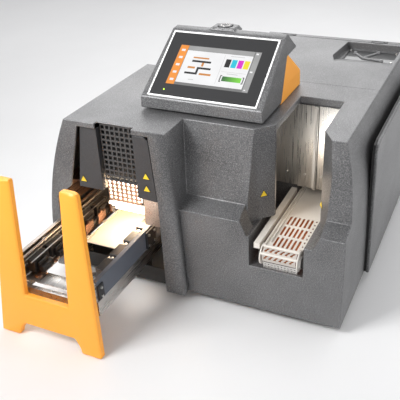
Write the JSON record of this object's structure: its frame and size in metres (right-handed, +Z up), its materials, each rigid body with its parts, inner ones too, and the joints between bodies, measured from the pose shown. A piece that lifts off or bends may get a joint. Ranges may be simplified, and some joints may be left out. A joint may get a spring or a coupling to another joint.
{
  "type": "infrared reflow oven and card printer",
  "caption": "Bench-top machine with a glowing reflow tower and pull-out tray, a tilted touch display, a slotted outfeed chute, a rear lid and a side door.",
  "frame": {"origin": "on the bench under the middle of the whole machine, tray pulled out", "axes": "+Z up, front of the machine and its tray towards -Y, outfeed on the +X side"},
  "size_m": [0.582, 0.791, 0.4561],
  "materials": {
    "charcoal": "fine textured",
    "panel": "satin",
    "black_plastic": "satin",
    "rubber": "matte",
    "orange": "satin",
    "steel": "brushed",
    "bright_steel": "brushed",
    "dark_steel": "satin",
    "blue_steel": "satin",
    "copper_tint": "heat tinted",
    "chrome": "polished",
    "quartz": "clear",
    "ceramic": "glazed",
    "glass": "gloss",
    "screen": "lit screen",
    "white": "satin",
    "led": "lit",
    "smoked": "smoked",
    "outfeed_white": "satin",
    "aluminium": "satin",
    "pan": "satin"
  },
  "bodies": {
    "machine": {"base_pan": "pan", "rubber_feet": "rubber", "front_housing": "charcoal", "tower_left_panel": "panel", "tower_right_panel": "panel", "square_hole_guard": "dark_steel", "round_hole_guard": "copper_tint", "mouth_sill": "panel", "lamp_reflector": "aluminium", "quartz_lamps": "quartz", "lamp_holders": "ceramic", "liner_left": "copper_tint", "liner_right": "steel", "guide_posts": "chrome", "fixed_rails": "steel", "outfeed_bed": "outfeed_white", "outfeed_nose": "outfeed_white", "side_guides": "outfeed_white", "outfeed_belts": "rubber", "roller_bearings": "black_plastic", "outfeed_motor": "dark_steel", "chute_plates": "steel", "chute_screws": "chrome", "tower_back": "panel", "display_stand": "orange", "display_head": "charcoal", "display_glass": "glass", "display_frame": "white", "screen_panel": "screen", "status_led": "led", "rear_housing": "charcoal", "lid_hinge": "steel", "carriage_rods": "chrome", "door_gasket": "rubber", "door_hinge": "steel", "exhaust_fan": "black_plastic", "power_inlet": "black_plastic", "power_supply": "aluminium"},
    "tray": {"tray_rails": "bright_steel", "tray_plate_right": "blue_steel", "tray_plate_left": "steel", "tray_crossbars": "steel", "heat_tray": "outfeed_white", "clamp_blocks": "black_plastic", "left_pads": "black_plastic", "comb_strip": "copper_tint", "press_rod": "steel", "tray_brackets": "dark_steel", "tray_bolts": "chrome", "end_stand": "orange"},
    "middle_slides": {"middle_rails": "bright_steel"},
    "lid": {"rear_lid": "charcoal", "lid_window": "smoked"},
    "door": {"side_door": "charcoal"},
    "front_roller": {"nose_roller": "bright_steel"},
    "back_roller": {"drive_roller": "bright_steel"},
    "fan": {"fan_rotor": "black_plastic"},
    "carriage": {"print_carriage": "black_plastic"},
    "button": {"power_button": "panel"},
    "switch": {"rocker_switch": "black_plastic"}
  },
  "joints": [
    {"name": "tray_slide", "type": "slide", "parent": "machine", "child": "tray", "axis": [0, 1, 0], "range_m": [0, 0.12]},
    {"name": "middle_slide", "type": "slide", "parent": "machine", "child": "middle_slides", "axis": [0, 1, 0], "range_m": [0, 0.06]},
    {"name": "lid_hinge", "type": "hinge", "parent": "machine", "child": "lid", "pos_m": [0.1815, 0.3835, 0.335], "axis": [-1, 0, 0], "range_deg": [0, 80]},
    {"name": "door_hinge", "type": "hinge", "parent": "machine", "child": "door", "pos_m": [0.287, 0.3895, 0.15], "axis": [0, 0, 1], "range_deg": [0, 95]},
    {"name": "front_roller_spin", "type": "hinge", "parent": "machine", "child": "front_roller", "pos_m": [0.177, -0.177, 0.129], "axis": [1, 0, 0], "continuous": true},
    {"name": "back_roller_spin", "type": "hinge", "parent": "machine", "child": "back_roller", "pos_m": [0.177, 0.0675, 0.129], "axis": [1, 0, 0], "continuous": true},
    {"name": "fan_spin", "type": "hinge", "parent": "machine", "child": "fan", "pos_m": [-0.153, 0.0845, 0.25], "axis": [0, 1, 0], "continuous": true},
    {"name": "carriage_slide", "type": "slide", "parent": "machine", "child": "carriage", "axis": [-1, 0, 0], "range_m": [0, 0.16]},
    {"name": "button_press", "type": "slide", "parent": "machine", "child": "button", "axis": [0, 0, -1], "range_m": [0, 0.0015], "stiffness_N_per_m": 800},
    {"name": "switch_rock", "type": "hinge", "parent": "machine", "child": "switch", "pos_m": [0.031, 0.3875, 0.062], "axis": [1, 0, 0], "range_deg": [0, 16]}
  ],
  "couplings": [
    {"joint": "middle_slide", "follows": "tray_slide", "ratio": 0.5},
    {"joint": "front_roller_spin", "follows": "back_roller_spin", "ratio": 1}
  ]
}
